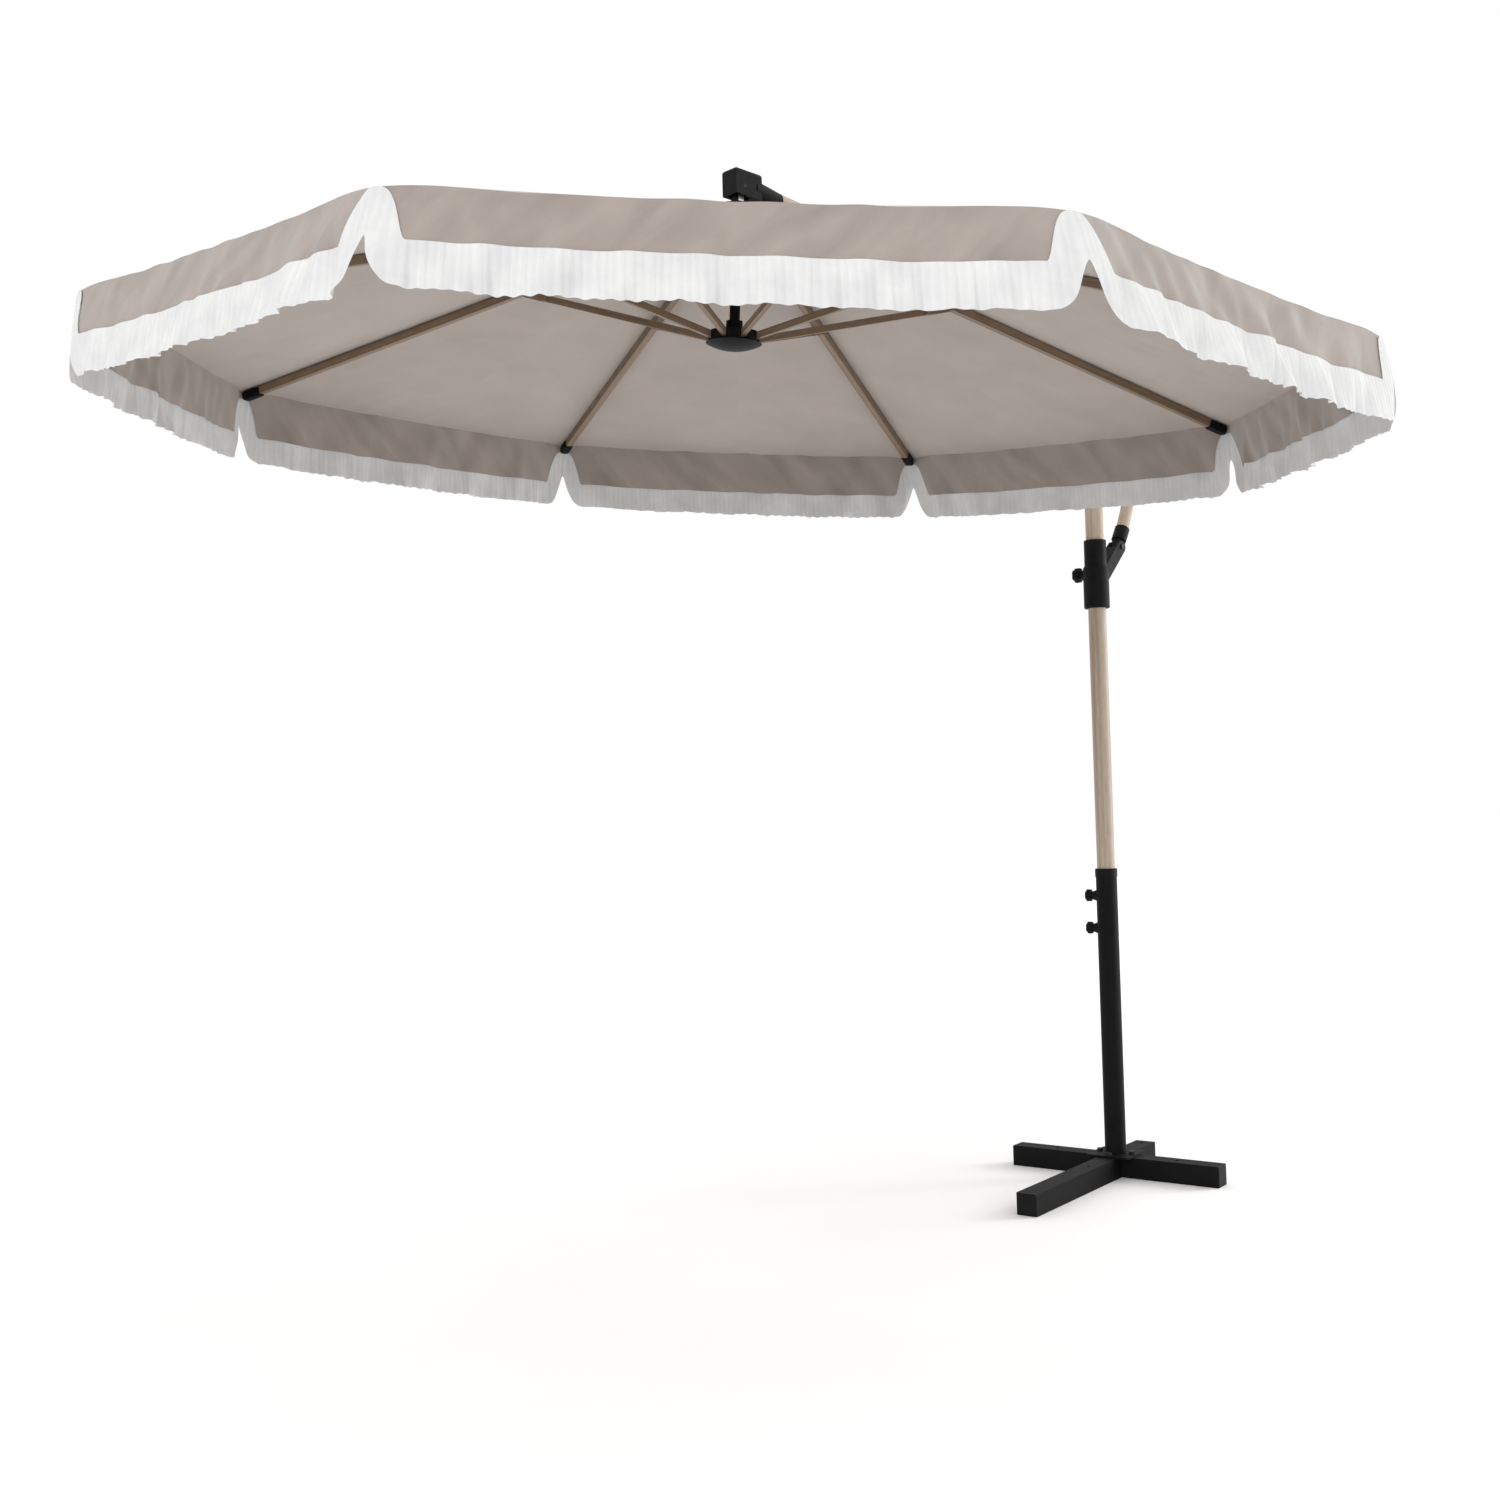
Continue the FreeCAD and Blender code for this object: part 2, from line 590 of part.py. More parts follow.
def stretcher(i):
    """A bar with a fork that straddles the rib and carries its pin, and an eye at the runner."""
    outer = RIB_W / 2 + 0.4 + FORK_CHEEK
    half_h = STRETCHER_H / 2
    bar = box(FORK_LENGTH - 4, STRETCHER_AT, -STRETCHER_W / 2, STRETCHER_W / 2, -half_h, half_h)
    fork = joined([box(0, FORK_LENGTH + 8, -outer, outer, -half_h, half_h),
                   cross_pin(half_h, ORIGIN, outer)])
    gap = outer - FORK_CHEEK
    fork = fork.cut(box(-20, FORK_LENGTH - 4, -gap, gap, -20, 20))
    eye = cross_pin(half_h, Vector(STRETCHER_AT, 0, 0), STRETCHER_W / 2)
    body = joined([bar, fork, eye])
    body = body.cut(cross_pin(HUB_PIN + RUNNING, Vector(STRETCHER_AT, 0, 0), 20))
    pin = cross_pin(RIB_PIN, ORIGIN, outer)
    body = body.cut(pin)
    both = group([body, pin]).rotated(ORIGIN, Y, 180 - math.degrees(RIB_SLOPE))
    reach = STRETCHER_AT * math.cos(RIB_SLOPE)
    drop = STRETCHER_AT * math.sin(RIB_SLOPE)
    return turned(both.translated(Vector(HUB_PIN_R + reach, 0, CROWN_Z - drop)), rib_angle(i))


def runner():
    """The lower hub, which the stretchers push outwards."""
    disc = Part.makeCylinder(HUB_R, 26, Vector(0, 0, RUNNER_Z - 13))
    collar = Part.makeCylinder(20, 34, Vector(0, 0, RUNNER_Z + 6))
    body = joined([disc, collar])
    cuts = hub_slots(STRETCHER_W + 0.8, 38, RUNNER_Z - 20, RUNNER_Z + 20)
    cuts += hub_pin_holes(RUNNER_Z, 12)
    cuts += [Part.makeCylinder(STEM_R + 0.4, 70, Vector(0, 0, RUNNER_Z - 13))]
    return body.cut(cuts)


def runner_pins():
    return group(hub_pins(RUNNER_Z, 11))


def runner_dome():
    """The shallow dome that closes the runner from below."""
    radius, depth = 68.0, 17.0
    ball = (radius ** 2 + depth ** 2) / (2 * depth)
    top = RUNNER_Z - 13.2
    dome = Part.makeSphere(ball, Vector(0, 0, top - depth + ball))
    dome = dome.common(Part.makeCylinder(radius + 5, depth, Vector(0, 0, top - depth)))
    inner = Part.makeSphere(ball - 3, Vector(0, 0, top - depth + ball))
    hollow = inner.common(Part.makeCylinder(radius - 9, depth, Vector(0, 0, top - depth)))
    return dome.cut(hollow)


# Fabric: plain closed solids in the canopy's own frame

def roof_corner(radius, i, lift):
    """A point above rib i's centre line."""
    angle = math.radians(rib_angle(i))
    z = CROWN_Z - (radius - HUB_PIN_R) * math.tan(RIB_SLOPE) + ROOF_OFFSET + lift
    return Vector(radius * math.cos(angle), radius * math.sin(angle), z)


def loop(radius, lift, z=None):
    """A closed eight-cornered wire, on the roof's slope or at a fixed height."""
    points = [roof_corner(radius, i, lift) for i in range(SIDES + 1)]
    if z is not None:
        points = [Vector(p.x, p.y, z) for p in points]
    return Part.makePolygon(points)


def canopy_roof():
    """The eight-sided roof, a shallow pyramid with a hole for the crown."""
    top = Part.makeLoft([loop(ROOF_CORNER_R, FABRIC), loop(ROOF_HOLE_R, FABRIC)], True, True)
    under = Part.makeLoft([loop(ROOF_CORNER_R, 0), loop(ROOF_HOLE_R, 0)], True, True)
    low = roof_corner(ROOF_CORNER_R, 0, 0).z
    high = roof_corner(ROOF_HOLE_R, 0, FABRIC).z
    hole = Part.makeLoft([loop(ROOF_HOLE_R, 0, low), loop(ROOF_HOLE_R, 0, high + 5)], True, True)
    return top.cut([under, hole])


def canopy_valance():
    """The band of eight flaps that hangs from the roof's edge, with a notch at every corner."""
    top = roof_corner(ROOF_CORNER_R, 0, 0).z
    hem = top - VALANCE_DROP
    outer = Part.makeLoft([loop(ROOF_CORNER_R, 0, hem), loop(ROOF_CORNER_R, 0, top)], True, True)
    inner = Part.makeLoft([loop(ROOF_CORNER_R - FABRIC, 0, hem), loop(ROOF_CORNER_R - FABRIC, 0, top)],
                          True, True)
    notch = Part.Face(Part.makePolygon([
        Vector(ROOF_CORNER_R - 60, 0, top - NOTCH_TOP),
        Vector(ROOF_CORNER_R - 60, NOTCH_HALF_WIDTH, hem - 1),
        Vector(ROOF_CORNER_R - 60, -NOTCH_HALF_WIDTH, hem - 1),
        Vector(ROOF_CORNER_R - 60, 0, top - NOTCH_TOP)])).extrude(Vector(80, 0, 0))
    return outer.cut([inner] + [turned(notch, rib_angle(i)) for i in range(SIDES)])


# The whole object

def base_nodes():
    knobs = {name: clamp_knob(name) for name in KNOB_HEIGHTS}
    return {
        "base_bar_long": base_bar_long(), "base_bar_cross": base_bar_cross(),
        "base_end_caps": base_end_caps(), "ballast_bars": ballast_bars(),
        "post_plate": post_plate(), "plate_bolts": plate_bolts(), "post": post(),
        "post_bosses": post_bosses(), "post_collar": post_collar(), "mast_socket": mast_socket(), **knobs,
    }


def upper_nodes():
    return {
        "mast_tube": mast_tube(), "mast_plug": mast_plug(), "mast_head": mast_head(),
        "pivot_bolt": pivot_bolt(), "slider_housing": slider_housing(),
        "slider_liners": slider_liners(), "slider_knob": slider_knob(),
        "strut_foot_pin": strut_foot_pin(), "strut_tube": strut_tube(), "strut_foot": strut_foot(),
        "strut_head": strut_head(), "boom_tube": boom_tube(), "boom_saddle": boom_saddle(),
        "boom_bush": boom_bush(), "boom_rear_end": boom_rear_end(), "rear_pin": rear_pin(),
        "boom_end_cap": boom_end_cap(), "level_pin": level_pin(), "hanger": hanger(),
    }


def canopy_nodes():
    nodes = {
        "roll_pin": roll_pin(), "crown": crown(), "crown_cap": crown_cap(), "rib_pins": rib_pins(),
        "stem": stem(), "runner": runner(), "runner_pins": runner_pins(), "runner_dome": runner_dome(),
        "canopy_roof": canopy_roof(), "canopy_valance": canopy_valance(),
    }
    for i in range(SIDES):
        nodes[f"rib_{i + 1}"] = rib(i)
        nodes[f"stretcher_{i + 1}"] = stretcher(i)
    return nodes


def main():
    placed = {name: s.transformed(BASE_PLACEMENT.toMatrix()) for name, s in base_nodes().items()}
    placed.update(upper_nodes())
    placed.update({name: s.transformed(CANOPY_PLACEMENT.toMatrix()) for name, s in canopy_nodes().items()})
    os.makedirs("parts", exist_ok=True)
    for name, shape in placed.items():
        shape.exportStep(f"parts/{name}.step")
        print(name, len(shape.Solids), shape.isValid(), round(shape.Volume))


if __name__ == "__main__":
    main()
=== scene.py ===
"""The looks of a cantilever patio umbrella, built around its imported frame. Lengths are in metres."""

import json
import math

import bpy
import numpy as np
from mathutils import Matrix, Vector


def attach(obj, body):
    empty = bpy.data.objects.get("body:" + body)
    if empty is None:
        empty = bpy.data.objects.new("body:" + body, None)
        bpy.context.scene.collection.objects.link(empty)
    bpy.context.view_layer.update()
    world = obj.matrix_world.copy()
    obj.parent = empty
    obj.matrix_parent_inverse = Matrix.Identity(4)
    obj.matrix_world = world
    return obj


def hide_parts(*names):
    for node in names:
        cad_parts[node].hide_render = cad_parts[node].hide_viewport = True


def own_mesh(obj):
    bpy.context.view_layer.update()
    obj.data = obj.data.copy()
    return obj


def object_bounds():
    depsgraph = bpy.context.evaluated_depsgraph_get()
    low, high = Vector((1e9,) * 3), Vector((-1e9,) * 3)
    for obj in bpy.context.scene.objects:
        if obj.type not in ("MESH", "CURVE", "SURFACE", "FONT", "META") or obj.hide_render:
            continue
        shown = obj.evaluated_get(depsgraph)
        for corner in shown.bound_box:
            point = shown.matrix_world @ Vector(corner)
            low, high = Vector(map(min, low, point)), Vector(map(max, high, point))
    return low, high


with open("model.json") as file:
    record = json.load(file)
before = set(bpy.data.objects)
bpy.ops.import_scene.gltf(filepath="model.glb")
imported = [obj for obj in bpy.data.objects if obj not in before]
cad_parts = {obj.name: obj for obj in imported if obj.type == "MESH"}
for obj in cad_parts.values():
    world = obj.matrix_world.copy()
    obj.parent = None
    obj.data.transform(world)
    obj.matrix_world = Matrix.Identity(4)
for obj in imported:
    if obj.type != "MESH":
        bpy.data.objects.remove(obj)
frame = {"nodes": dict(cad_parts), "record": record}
cad_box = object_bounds()
nodes = frame["nodes"]


def joint_place(name):
    """Where the record puts a joint."""
    return Vector(next(j for j in frame["record"]["behaviour"]["joints"] if j["name"] == name)["pos_m"])


# The canopy's own frame, as the CAD places it
ROLL_CENTRE = joint_place("canopy_roll")
ROLL = math.radians(5)
SIDES = 8
HUB_PIN_R = 0.050
CROWN_Z = -0.038
TIP_R, TIP_Z = 1.450, -0.413
SLOPE = math.atan2(CROWN_Z - TIP_Z, TIP_R - HUB_PIN_R)
RIB_LENGTH = math.hypot(CROWN_Z - TIP_Z, TIP_R - HUB_PIN_R)
ROOF_R = 1.462
HOLE_R = 0.074
ROOF_LIFT = 0.0130                     # from a rib's centre line up to the fabric
HALF_TURN = math.pi / SIDES
HALF_EDGE = ROOF_R * math.sin(HALF_TURN)
EDGE_INWARD = 0.004                    # how far the roof's edge curves in between two ribs
RIDGE_DROP = math.sin(HALF_TURN) * math.tan(SLOPE)   # how fast a flat gore falls away beside its rib
RIDGE_REACH = 0.13                     # how far from a rib the fabric stays raised
EDGE_SAG, GORE_SAG = 0.002, 0.050      # how much a gore hangs through: at its edge, and a factor further in

# The flaps that hang from the roof's edge
DROP = 0.195
NOTCH_DEPTH = 0.092
NOTCH_REACH = 0.021                    # how quickly a flap reaches its full depth beside a notch
CORNER_ROUND = 0.05                    # over which the fabric turns from one side to the next
BILLOW = 0.004                         # how far a flap swells out halfway down
TRIM_TOP = 0.106                       # from the roof's edge down to the trim on a flap
TRIM_ROUND = 0.030                     # how softly its upper edge bends down from a corner's peak
PEAK_REACH, PEAK_DEPTH = 0.045, 0.076  # a point of that peak: beside the corner, and below the roof's edge
TRIM_ROWS = 11
TRIM_TUCK = 0.018                      # how far the fabric reaches behind the trim
TRIM_OVER = 0.004                      # how far the trim reaches past the fabric at least
TRIM_PROUD = 0.0030                    # how far the trim stands out from the fabric
LEAN, BREEZE_LEAN = 5, 15              # degrees that every flap leans out, and more towards the breeze
BREEZE = math.radians(225)             # the side where the flaps lean out most

to_row = Matrix.Translation(ROLL_CENTRE) @ Matrix.Rotation(ROLL, 4, "X")
turn_to_row = np.array(to_row.to_3x3())
gravity = np.array(to_row.to_3x3().inverted() @ Vector((0, 0, -1)))


# Materials

class Look:
    """A procedural material, built with short calls that each return an output socket."""

    def __init__(self, name, roughness=0.6, metallic=0.0, specular=0.5):
        self.material = bpy.data.materials.new(name)
        self.material.use_nodes = True
        self.tree = self.material.node_tree
        self.shader = self.tree.nodes["Principled BSDF"]
        self.shader.inputs["Roughness"].default_value = roughness
        self.shader.inputs["Metallic"].default_value = metallic
        self.shader.inputs["Specular IOR Level"].default_value = specular

    def node(self, kind, inputs=(), **settings):
        made = self.tree.nodes.new("ShaderNode" + kind)
        for key, value in settings.items():
            setattr(made, key, value)
        for key, value in dict(inputs).items():
            if isinstance(value, bpy.types.NodeSocket):
                self.tree.links.new(value, made.inputs[key])
            else:
                made.inputs[key].default_value = value
        return made

    def place(self, scale=(1, 1, 1), turn=(0, 0, 0), uv=False):
        """Coordinates in metres, turned into a piece's own directions and then scaled."""
        if uv:
            source = self.node("UVMap").outputs["UV"]
        else:
            source = self.node("TexCoord").outputs["Object"]
        turned = self.node("Mapping", {"Vector": source, "Rotation": turn}, vector_type="TEXTURE")
        return self.node("Mapping", {"Vector": turned.outputs["Vector"], "Scale": scale}).outputs["Vector"]

    def noise(self, where, scale, detail=4.0, rough=0.55, distortion=0.0):
        made = self.node("TexNoise", {"Vector": where, "Scale": scale, "Detail": detail,
                                      "Roughness": rough, "Distortion": distortion})
        return made.outputs["Fac"]

    def wave(self, where, scale, distortion=0.0, direction="X", detail_scale=1.0):
        inputs = {"Vector": where, "Scale": scale, "Distortion": distortion, "Detail": 2.0,
                  "Detail Scale": detail_scale}
        made = self.node("TexWave", inputs, bands_direction=direction)
        return made.outputs["Fac"]

    def math(self, operation, a, b=0.0):
        return self.node("Math", {0: a, 1: b}, operation=operation).outputs[0]

    def spread(self, value, low, high):
        """A 0 to 1 value stretched onto low to high."""
        made = self.node("MapRange", {"Value": value, "To Min": low, "To Max": high})
        return made.outputs["Result"]

    def ramp(self, value, *stops):
        made = self.node("ValToRGB", {"Fac": value})
        elements = made.color_ramp.elements
        while len(elements) < len(stops):
            elements.new(0.5)
        for element, (position, colour) in zip(elements, stops):
            element.position = position
            element.color = (*colour, 1)
        return made.outputs["Color"]

    def mix(self, share, a, b, blend="MIX"):
        made = self.node("Mix", {"Factor": share}, data_type="RGBA", blend_type=blend)
        for socket, value in ((made.inputs[6], a), (made.inputs[7], b)):
            if isinstance(value, bpy.types.NodeSocket):
                self.tree.links.new(value, socket)
            else:
                socket.default_value = (*value, 1)
        return made.outputs[2]

    def bump(self, height, depth, strength=1.0, below=None):
        inputs = {"Height": height, "Distance": depth, "Strength": strength}
        if below is not None:
            inputs["Normal"] = below
        return self.node("Bump", inputs).outputs["Normal"]

    def finish(self, colour, normal, roughness=None):
        self.tree.links.new(colour, self.shader.inputs["Base Color"])
        self.tree.links.new(normal, self.shader.inputs["Normal"])
        if roughness is not None:
            self.tree.links.new(roughness, self.shader.inputs["Roughness"])
        return self.material


def scaled(colour, share):
    return tuple(c * share for c in colour)


def canopy_fabric():
    """Taupe woven polyester, sewn on each rib. The UV map is in metres, across from a rib and along it."""
    look = Look("taupe_woven_canopy", 0.85, specular=0.25)
    look.shader.inputs["Sheen Weight"].default_value = 0.25
    look.shader.inputs["Sheen Roughness"].default_value = 0.5
    base = (0.365, 0.315, 0.283)
    seam, thread, stitches_per_metre, seam_allowance = 0.010, 0.0010, 180, 0.014
    metres = look.place(uv=True)
    mottled = look.noise(metres, 5, 3)
    streaks = look.noise(look.place((60, 4, 1), uv=True), 1, 4)
    threads = look.noise(look.place((900, 900, 1), uv=True), 1, 2)
    colour = look.ramp(mottled, (0.3, scaled(base, 0.90)), (0.7, scaled(base, 1.06)))
    colour = look.mix(look.spread(streaks, 0.0, 0.22), colour, scaled(base, 0.80))
    colour = look.mix(look.spread(threads, 0.0, 0.30), colour, scaled(base, 0.72))
    split = look.node("SeparateXYZ", {"Vector": metres})
    across = look.math("ABSOLUTE", split.outputs["X"])
    beside = look.math("ABSOLUTE", look.math("SUBTRACT", across, seam))
    on_line = look.math("LESS_THAN", beside, thread)
    stitches = look.math("FRACT", look.math("MULTIPLY", split.outputs["Y"], stitches_per_metre))
    dashes = look.math("GREATER_THAN", stitches, 0.35)
    stitch = look.math("MULTIPLY", on_line, dashes)
    allowance = look.math("LESS_THAN", across, seam_allowance)
    colour = look.mix(look.math("MULTIPLY", allowance, 0.25), colour, scaled(base, 0.70))
    colour = look.mix(stitch, colour, scaled(base, 0.42))
    # Painted shade: darker diagonal streaks on the flaps stand in for the shade that falls in the fabric's
    # fold valleys.
    crease_shade_noise = look.noise(look.place((17, 5, 1), (0, 0, 0.75), uv=True), 1, 4, 0.5, 0.6)
    on_flap = look.math("GREATER_THAN", split.outputs["Y"], RIB_LENGTH)
    crease_shade_share = look.math("MULTIPLY", on_flap, look.spread(crease_shade_noise, -0.35, 1.0))
    colour = look.mix(crease_shade_share, colour, scaled(base, 0.56))
    weft = look.wave(metres, 230, 0.4, "X", 40)
    warp = look.wave(metres, 230, 0.4, "Y", 40)
    normal = look.bump(look.math("MULTIPLY", weft, warp), 0.0003, 0.5)
    normal = look.bump(look.math("SUBTRACT", allowance, stitch), 0.0006, 0.6, normal)
    normal = look.bump(look.noise(look.place((9, 3, 1), uv=True), 1, 3), 0.006, 0.35, normal)
    return look.finish(colour, normal, look.spread(mottled, 0.80, 0.92))


def trim_fabric():
    """White gathered trim with fine pleats, painted shade in the pleats' hollows, and a corded edge."""
    look = Look("white_gathered_trim", 0.8, specular=0.3)
    look.shader.inputs["Sheen Weight"].default_value = 0.2
    metres = look.place(uv=True)
    cloudy = look.noise(metres, 14, 4)
    pleats = look.wave(look.place((1, 0.12, 1), uv=True), 22, 3.0, "X", 2)
    colour = look.ramp(cloudy, (0.30, (0.57, 0.575, 0.58)), (0.70, (0.67, 0.67, 0.665)))
    # Painted shade: grey stripes that follow the pleats stand in for the shade in their hollows.
    colour = look.mix(look.spread(pleats, 0.12, 0.0), colour, (0.42, 0.42, 0.42))
    weave = look.wave(metres, 260, 0.5, "Y", 60)
    normal = look.bump(pleats, 0.0018, 0.5)
    normal = look.bump(weave, 0.0003, 0.5, normal)
    return look.finish(colour, normal, look.spread(cloudy, 0.72, 0.88))


def wood_grain(name, light, dark, turn=(0, 0, 0), glow=1.0, grain=1.0):
    """A wood-look film: long grain along the turned X axis, pores, and a few darker year lines."""
    look = Look(name, 0.45, specular=0.45)
    long = look.place((0.9, 46 * grain, 46 * grain), turn)
    pores = look.noise(look.place((30, 900, 900), turn), 1, 3, 0.7)
    figure = look.noise(long, 1.0, 6, 0.6, 0.9)
    lines = look.wave(look.place((0.35, 1, 1), turn), 18 * grain, 7.0, "Y", 2.0)
    colour = look.ramp(figure, (0.28, dark), (0.52, light), (0.80, scaled(light, glow)))
    colour = look.mix(look.spread(lines, 0.0, 0.30), colour, dark)
    colour = look.mix(look.math("MULTIPLY", look.math("GREATER_THAN", pores, 0.62), 0.35), colour,
                      scaled(dark, 0.6))
    normal = look.bump(figure, 0.0004, 0.4)
    normal = look.bump(pores, 0.0002, 0.4, normal)
    return look.finish(colour, normal, look.spread(figure, 0.38, 0.58))


def powder_coat():
    """Black powder coat with a fine orange-peel texture, a little dust and rubbed edges."""
    look = Look("black_powder_coat", 0.6, specular=0.10)
    metres = look.place()
    peel = look.noise(metres, 700, 3)
    dust = look.noise(metres, 9, 6, 0.62)
    rubs = look.noise(look.place((14, 14, 3)), 6, 8, 0.75)
    colour = look.ramp(dust, (0.35, (0.0022, 0.0022, 0.0024)), (0.75, (0.0060, 0.0058, 0.0055)))
    colour = look.mix(look.math("MULTIPLY", look.math("GREATER_THAN", rubs, 0.71), 0.3), colour,
                      (0.020, 0.0195, 0.019))
    normal = look.bump(peel, 0.00025, 0.45)
    return look.finish(colour, normal, look.spread(dust, 0.50, 0.74))


def moulded_plastic(name, dark, pale, roughness=(0.48, 0.68), specular=0.12):
    """Moulded plastic with a fine spark-eroded grain and faint scuffs."""
    look = Look(name, 0.5, specular=specular)
    metres = look.place()
    grain = look.noise(metres, 1500, 2)
    scuffs = look.noise(look.place((40, 40, 8)), 3, 6, 0.7)
    colour = look.ramp(look.noise(metres, 22, 4), (0.35, dark), (0.70, pale))
    colour = look.mix(look.math("MULTIPLY", look.math("GREATER_THAN", scuffs, 0.66), 0.3), colour,
                      scaled(pale, 1.9))
    normal = look.bump(grain, 0.00018, 0.6)
    normal = look.bump(scuffs, 0.0003, 0.2, normal)
    return look.finish(colour, normal, look.spread(look.noise(metres, 60, 3), *roughness))


def plated_steel():
    look = Look("zinc_plated_steel", 0.35, 0.9)
    metres = look.place()
    spangle = look.noise(metres, 130, 3)
    colour = look.ramp(spangle, (0.3, (0.42, 0.42, 0.41)), (0.7, (0.62, 0.62, 0.60)))
    normal = look.bump(look.noise(look.place((1, 1, 8)), 500, 3), 0.0001, 0.5)
    return look.finish(colour, normal, look.spread(spangle, 0.28, 0.48))


def blackened_steel():
    look = Look("blackened_steel_pins", 0.5, 0.6, 0.3)
    metres = look.place()
    patches = look.noise(metres, 180, 4)
    colour = look.ramp(patches, (0.3, (0.012, 0.012, 0.013)), (0.7, (0.030, 0.029, 0.028)))
    normal = look.bump(look.noise(look.place((1, 8, 1)), 420, 3), 0.0001, 0.5)
    return look.finish(colour, normal, look.spread(patches, 0.42, 0.62))


def cast_iron():
    look = Look("raw_cast_iron", 0.8, 0.3)
    metres = look.place()
    pits = look.noise(metres, 260, 6, 0.7)
    colour = look.ramp(look.noise(metres, 20, 5), (0.35, (0.06, 0.055, 0.05)), (0.75, (0.16, 0.12, 0.09)))
    return look.finish(colour, look.bump(pits, 0.0008, 0.7), look.spread(pits, 0.7, 0.95))


def floor_look():
    look = Look("pale_floor", 0.9, specular=0.1)
    metres = look.place()
    clouds = look.noise(metres, 0.8, 3)
    colour = look.ramp(clouds, (0.3, (0.85, 0.85, 0.85)), (0.7, (0.88, 0.88, 0.88)))
    return look.finish(colour, look.bump(look.noise(metres, 60, 3), 0.0005, 0.2))


BEECH, BEECH_DARK = (0.40, 0.325, 0.255), (0.26, 0.190, 0.138)
WALNUT, WALNUT_DARK = (0.190, 0.130, 0.085), (0.100, 0.065, 0.040)


def rib_angle(i):
    return math.radians(360 / SIDES * (i + 0.5))


def slanted(i, drop):
    """The turn that lays the X axis along a bar over rib i's line, dropping by that angle outwards."""
    level_line = Matrix.Rotation(ROLL, 3, "X") @ Matrix.Rotation(rib_angle(i), 3, "Z")
    return tuple((level_line @ Matrix.Rotation(drop, 3, "Y")).to_euler())


def dress_frame():
    """Gives every CAD node the finish of its material slot, and returns the plastic."""
    black = powder_coat()
    plastic = moulded_plastic("black_moulded_plastic", (0.0028, 0.0028, 0.0030), (0.0065, 0.0065, 0.0068))
    mast_turn, boom_turn, strut_turn = -math.pi / 2, math.radians(5), math.radians(-77)
    upright = wood_grain("beech_look_mast", BEECH, BEECH_DARK, (0, mast_turn, 0), 1.12)
    along_boom = wood_grain("beech_look_boom", BEECH, BEECH_DARK, (0, boom_turn, 0), 1.12)
    along_strut = wood_grain("beech_look_strut", BEECH, BEECH_DARK, (0, strut_turn, 0), 1.12)
    finishes = {
        "black_powder_coat": black, "stem_metal": black, "black_plastic": plastic,
        "zinc_steel": plated_steel(), "ballast_iron": cast_iron(), "wood_look_tube": upright,
        "bearing_plastic": moulded_plastic("natural_bearing_plastic", (0.60, 0.59, 0.55),
                                           (0.72, 0.71, 0.67)),
    }
    blackened = blackened_steel()
    own = {"boom_tube": along_boom, "strut_tube": along_strut}
    for name in ("level_pin", "roll_pin", "rear_pin", "strut_foot_pin", "pivot_bolt", "runner_pins",
                 "plate_bolts"):
        own[name] = blackened
    for i in range(SIDES):
        own[f"rib_{i + 1}"] = wood_grain(f"walnut_look_rib_{i + 1}", WALNUT, WALNUT_DARK, slanted(i, SLOPE),
                                         1.3, 1.6)
        own[f"stretcher_{i + 1}"] = wood_grain(f"walnut_look_stretcher_{i + 1}", WALNUT, WALNUT_DARK,
                                               slanted(i, -SLOPE), 1.3, 1.6)
    for part in frame["record"]["subparts"]:
        name = part["node"]
        material = own.get(name) or finishes.get(part["material_slot"])
        if material is None:
            continue
        mesh = nodes[name].data
        mesh.materials.clear()
        mesh.materials.append(material)
    return plastic


# Fabric

def soft_min(a, b, k):
    """The smaller of two values, rounded where they cross."""
    near = np.clip(1 - np.abs(a - b) / k, 0, None)
    return np.minimum(a, b) - k / 4 * near ** 2


def flap_hem(v):
    """Depth of a flap's edge at a distance v from the roof's corner: a notch, a rounded corner, the hem."""
    return DROP - (DROP - NOTCH_DEPTH) * np.exp(-(v / NOTCH_REACH) ** 1.5)


def trim_line(v):
    """Depth of the trim's upper edge, which rises to a peak at the roof's corner."""
    rise = PEAK_DEPTH * (v / PEAK_REACH) ** 3.2
    return soft_min(rise, np.full_like(v, TRIM_TOP), TRIM_ROUND).clip(0)


def waves(s, depth, parts, seed):
    """Soft folds along the roof's whole edge, which are calmer and wider in some places than in others."""
    rng = np.random.default_rng(seed)
    around = 2 * SIDES * HALF_EDGE
    total = np.zeros(np.broadcast(s, depth).shape)
    for count, slant, height in parts:
        phase, swell, where = rng.uniform(0, 2 * math.pi, 3)
        calm = 0.55 + 0.45 * np.sin(2 * math.pi * (5 + count % 7) * s / around + swell)
        angle = 2 * math.pi * count * s / around + phase + slant * depth
        total += height * calm * np.sin(angle + 0.8 * np.sin(2 * math.pi * 13 * s / around + where))
    return total


# Each set has its own seed, and each of its parts is (folds around, slant, height)
FOLDS = [(29, 14, 0.0075), (43, -18, 0.0080), (71, 22, 0.0062), (113, -16, 0.0036), (151, 9, 0.0016)]
RUFFLES = [(199, 3, 0.0036), (293, -4, 0.0024), (131, 6, 0.0030)]
PUCKERS = [(57, 30, 0.0012), (91, -40, 0.0008)]
UNEVEN_HEM = [(330, 0, 0.0016), (150, 0, 0.0012)]
FOLD_SEED, RUFFLE_SEED, PUCKER_SEED, HEM_SEED = 11, 23, 5, 31


